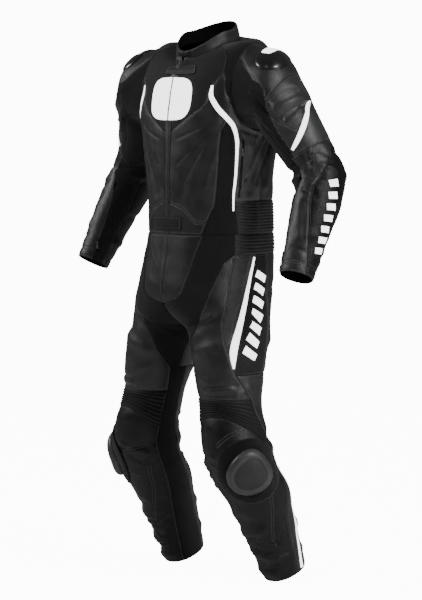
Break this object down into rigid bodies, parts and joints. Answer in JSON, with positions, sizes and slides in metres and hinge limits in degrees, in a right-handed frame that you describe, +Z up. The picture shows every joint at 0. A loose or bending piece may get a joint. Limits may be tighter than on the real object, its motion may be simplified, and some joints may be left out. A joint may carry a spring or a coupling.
{
  "type": "motorcycle race suit",
  "caption": "Leather race suit for motorcycling, filled out and empty: jacket and trousers with accordion panels, shoulder cups, white stripes and knee sliders.",
  "frame": {"origin": "on the suit's middle plane at the height of the shoulder line, where the wearer's shoulders and neck hold it", "axes": "+Z up towards the collar, -Y the way the chest faces, +X the wearer's left"},
  "size_m": [0.8572, 0.3223, 1.4175],
  "materials": {
    "leather": "satin black cowhide with a fine grain",
    "rib_leather": "satin black leather sewn in accordion ribs",
    "stretch_cloth": "matte black woven stretch cloth",
    "white_leather": "white leather stripe",
    "cup_plastic": "glossy black hard cup",
    "puck_plastic": "matte dark grey slider",
    "zip_metal": "dark metal pull tab"
  },
  "bodies": {
    "suit": {"front_lower_left": "leather", "front_lower_right": "leather", "front_yoke_left": "stretch_cloth", "front_yoke_right": "stretch_cloth", "side_stretch_left": "stretch_cloth", "side_stretch_right": "stretch_cloth", "side_panel_left": "leather", "side_panel_right": "leather", "back": "leather", "front_zip": "stretch_cloth", "waist_ribs": "rib_leather", "collar": "stretch_cloth", "throat_tab": "stretch_cloth", "waist_tab": "stretch_cloth", "shoulder_left": "leather", "shoulder_right": "leather", "upper_sleeve_left": "leather", "upper_sleeve_right": "leather", "forearm_front_left": "leather", "forearm_front_right": "leather", "forearm_outer_left": "leather", "forearm_outer_right": "leather", "under_sleeve_left": "stretch_cloth", "under_sleeve_right": "stretch_cloth", "fly": "leather", "crotch_left": "stretch_cloth", "crotch_right": "stretch_cloth", "thigh_front_left": "leather", "thigh_front_right": "leather", "hip_side_left": "leather", "hip_side_right": "leather", "seat_left": "leather", "seat_right": "leather", "trouser_ribs": "rib_leather", "knee_ribs_left": "rib_leather", "knee_ribs_right": "rib_leather", "shin_left": "leather", "shin_right": "leather", "inner_leg_left": "stretch_cloth", "inner_leg_right": "stretch_cloth", "back_leg_left": "leather", "back_leg_right": "leather", "chest_stripe_left": "white_leather", "chest_stripe_right": "white_leather", "arm_stripe_left": "white_leather", "arm_stripe_right": "white_leather", "hip_stripe_left": "white_leather", "hip_stripe_right": "white_leather", "shoulder_cup_left": "cup_plastic", "shoulder_cup_right": "cup_plastic", "slider_base_left": "stretch_cloth", "slider_base_right": "stretch_cloth", "slider_left": "puck_plastic", "slider_right": "puck_plastic"},
    "pocket_pull_left_body": {"pocket_pull_left": "zip_metal"},
    "pocket_pull_right_body": {"pocket_pull_right": "zip_metal"},
    "cuff_pull_left_body": {"cuff_pull_left": "zip_metal"},
    "cuff_pull_right_body": {"cuff_pull_right": "zip_metal"},
    "ankle_pull_left_body": {"ankle_pull_left": "zip_metal"},
    "ankle_pull_right_body": {"ankle_pull_right": "zip_metal"}
  },
  "joints": [
    {"name": "pocket_pull_left_hinge", "type": "hinge", "parent": "suit", "child": "pocket_pull_left_body", "pos_m": [0.17785, -0.05237, -0.24633], "axis": [-0.3202, -0.9473, 0], "range_deg": [0, 100]},
    {"name": "pocket_pull_right_hinge", "type": "hinge", "parent": "suit", "child": "pocket_pull_right_body", "pos_m": [-0.17785, -0.05237, -0.24633], "axis": [-0.3202, 0.9473, 0], "range_deg": [0, 100]},
    {"name": "cuff_pull_left_hinge", "type": "hinge", "parent": "suit", "child": "cuff_pull_left_body", "pos_m": [0.35319, -0.0835, -0.49953], "axis": [-0.7416, 0.6708, 0], "range_deg": [0, 100]},
    {"name": "cuff_pull_right_hinge", "type": "hinge", "parent": "suit", "child": "cuff_pull_right_body", "pos_m": [-0.35319, -0.0835, -0.49953], "axis": [-0.7416, -0.6708, 0], "range_deg": [0, 100]},
    {"name": "ankle_pull_left_hinge", "type": "hinge", "parent": "suit", "child": "ankle_pull_left_body", "pos_m": [0.20056, 0.12207, -1.26782], "axis": [0.9899, -0.1415, 0], "range_deg": [0, 100]},
    {"name": "ankle_pull_right_hinge", "type": "hinge", "parent": "suit", "child": "ankle_pull_right_body", "pos_m": [-0.20056, 0.12207, -1.26782], "axis": [0.9899, 0.1415, 0], "range_deg": [0, 100]}
  ]
}
